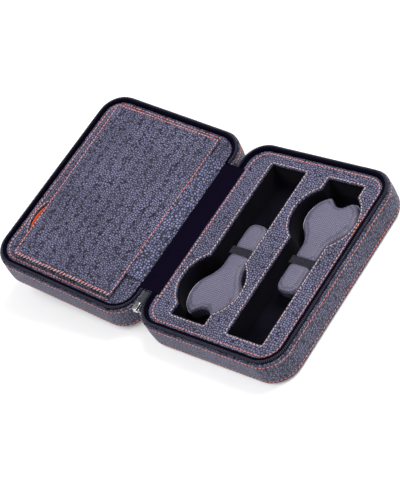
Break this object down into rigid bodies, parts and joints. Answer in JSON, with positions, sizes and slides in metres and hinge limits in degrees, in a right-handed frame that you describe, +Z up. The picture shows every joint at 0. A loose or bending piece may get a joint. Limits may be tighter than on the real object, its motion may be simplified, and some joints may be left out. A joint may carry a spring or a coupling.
{
  "type": "watch travel case",
  "caption": "Zip-round leather travel case for watches, opening like a book, with keyhole wells, pads under elastic bands and a covering flap.",
  "frame": {"origin": "centre of the base half's flat underside, where the case stands", "axes": "+X from the lid across the spine to the base, +Y along the spine to the back, +Z up"},
  "size_m": [0.3026, 0.19, 0.0551],
  "materials": {
    "leather": "pebbled dark navy leather with coral stitching",
    "pad_leather": "soft grey-purple leather",
    "orange_velvet": "short orange velvet",
    "lining_cloth": "fine black twill",
    "thread": "twisted coral thread",
    "velvet": "short black pile",
    "elastic": "ribbed black elastic",
    "zip_tape": "dark navy woven tape",
    "zip_coil": "dark nylon coil",
    "zip_metal": "polished nickel",
    "card": "grey-brown fibre board"
  },
  "bodies": {
    "base": {"base_skin": "leather", "base_board": "card", "base_lining": "lining_cloth", "base_zip_tape": "zip_tape", "base_zip_coil": "zip_coil", "base_tray": "leather", "base_well_inner": "velvet", "base_well_outer": "velvet", "base_band_inner": "elastic", "base_band_outer": "elastic", "hinge_lining": "lining_cloth", "spine_strip": "leather"},
    "lid": {"lid_skin": "leather", "lid_board": "card", "lid_lining": "lining_cloth", "lid_zip_tape": "zip_tape", "lid_zip_coil": "zip_coil", "lid_tray": "leather", "lid_well_inner": "orange_velvet", "lid_well_outer": "orange_velvet", "lid_band_inner": "elastic", "lid_band_outer": "elastic", "flap_strip": "leather"},
    "flap": {"flap_leather": "leather", "flap_board": "card", "flap_lining": "lining_cloth"},
    "zip_tail": {"zip_end": "zip_tape"},
    "slider": {"zip_slider": "zip_metal"},
    "pull": {"zip_pull": "zip_metal"},
    "base_pad_inner": {"base_pad_inner": "pad_leather"},
    "base_pad_outer": {"base_pad_outer": "pad_leather"},
    "lid_pad_inner": {"lid_pad_inner": "pad_leather"},
    "lid_pad_outer": {"lid_pad_outer": "pad_leather"}
  },
  "joints": [
    {"name": "lid_hinge", "type": "hinge", "parent": "base", "child": "lid", "pos_m": [-0.0762, 0, 0.0297], "axis": [0, 1, 0], "range_deg": [0, 170], "deforming": ["hinge_lining", "spine_strip"]},
    {"name": "flap_hinge", "type": "hinge", "parent": "lid", "child": "flap", "pos_m": [-0.10023, 0, 0.03394], "axis": [0, -1, 0], "range_deg": [-140, 0]},
    {"name": "zip_tail_turn", "type": "hinge", "parent": "base", "child": "zip_tail", "pos_m": [-0.0762, 0, 0.0297], "axis": [0, 1, 0], "range_deg": [0, 85]},
    {"name": "slider_run", "type": "slide", "parent": "zip_tail", "child": "slider", "axis": [0, -1, 0], "range_m": [0, 0.005]},
    {"name": "pull_swing", "type": "hinge", "parent": "slider", "child": "pull", "pos_m": [-0.07682, -0.082, 0.02258], "axis": [0.9962, 0, -0.0872], "range_deg": [-90, 90]},
    {"name": "base_pad_inner_slide", "type": "slide", "parent": "base", "child": "base_pad_inner", "axis": [0, 1, 0], "range_m": [-0.0015, 0.0015]},
    {"name": "base_pad_outer_slide", "type": "slide", "parent": "base", "child": "base_pad_outer", "axis": [0, 1, 0], "range_m": [-0.0015, 0.0015]},
    {"name": "lid_pad_inner_slide", "type": "slide", "parent": "lid", "child": "lid_pad_inner", "axis": [0, 1, 0], "range_m": [-0.0015, 0.0015]},
    {"name": "lid_pad_outer_slide", "type": "slide", "parent": "lid", "child": "lid_pad_outer", "axis": [0, 1, 0], "range_m": [-0.0015, 0.0015]}
  ],
  "couplings": [
    {"joint": "zip_tail_turn", "follows": "lid_hinge", "ratio": 0.5}
  ]
}
